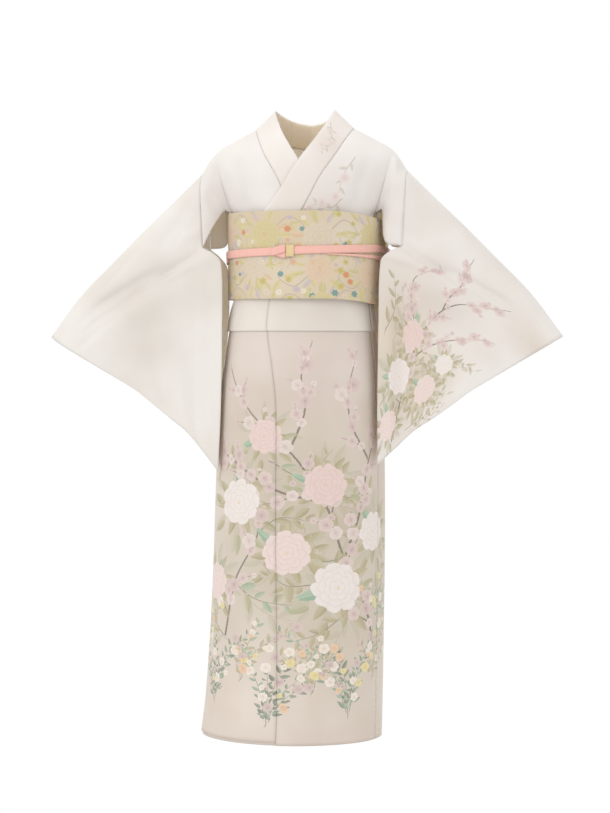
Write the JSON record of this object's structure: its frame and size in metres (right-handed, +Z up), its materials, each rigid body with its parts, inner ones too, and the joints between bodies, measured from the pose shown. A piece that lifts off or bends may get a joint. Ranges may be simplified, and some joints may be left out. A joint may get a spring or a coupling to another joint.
{
  "type": "worn homongi kimono with obi",
  "caption": "Worn visiting kimono, empty and hollow, with overlapping fronts, hanging sleeves, a tucked waist fold, a wide obi tied in a drum behind and a flat cord over it.",
  "frame": {"origin": "between the wearer's shoulders, level with the base of the neck", "axes": "+Z up, -Y the way the garment faces, +X towards the wearer's left sleeve"},
  "size_m": [1.0252, 0.3298, 1.246],
  "materials": {
    "kimono_silk": "matt crepe silk, shaded cream, blush and sage",
    "collar_silk": "matt crepe silk, ivory",
    "obi_brocade": "woven brocade with gold and pastel threads",
    "pink_braid": "flat silk braid",
    "gold_braid": "braid of gold thread"
  },
  "bodies": {
    "root": {"body_left": "kimono_silk", "body_right": "kimono_silk", "overlap_left": "kimono_silk", "overlap_right": "kimono_silk", "collar": "collar_silk", "sleeve_left": "kimono_silk", "sleeve_right": "kimono_silk", "obi_wrap": "obi_brocade", "obi_drum": "obi_brocade", "obi_tail": "obi_brocade", "obi_hand": "obi_brocade", "obijime": "pink_braid", "obijime_tail_left": "pink_braid", "obijime_tail_right": "pink_braid", "obijime_knot": "pink_braid", "obijime_band": "gold_braid"}
  },
  "joints": []
}
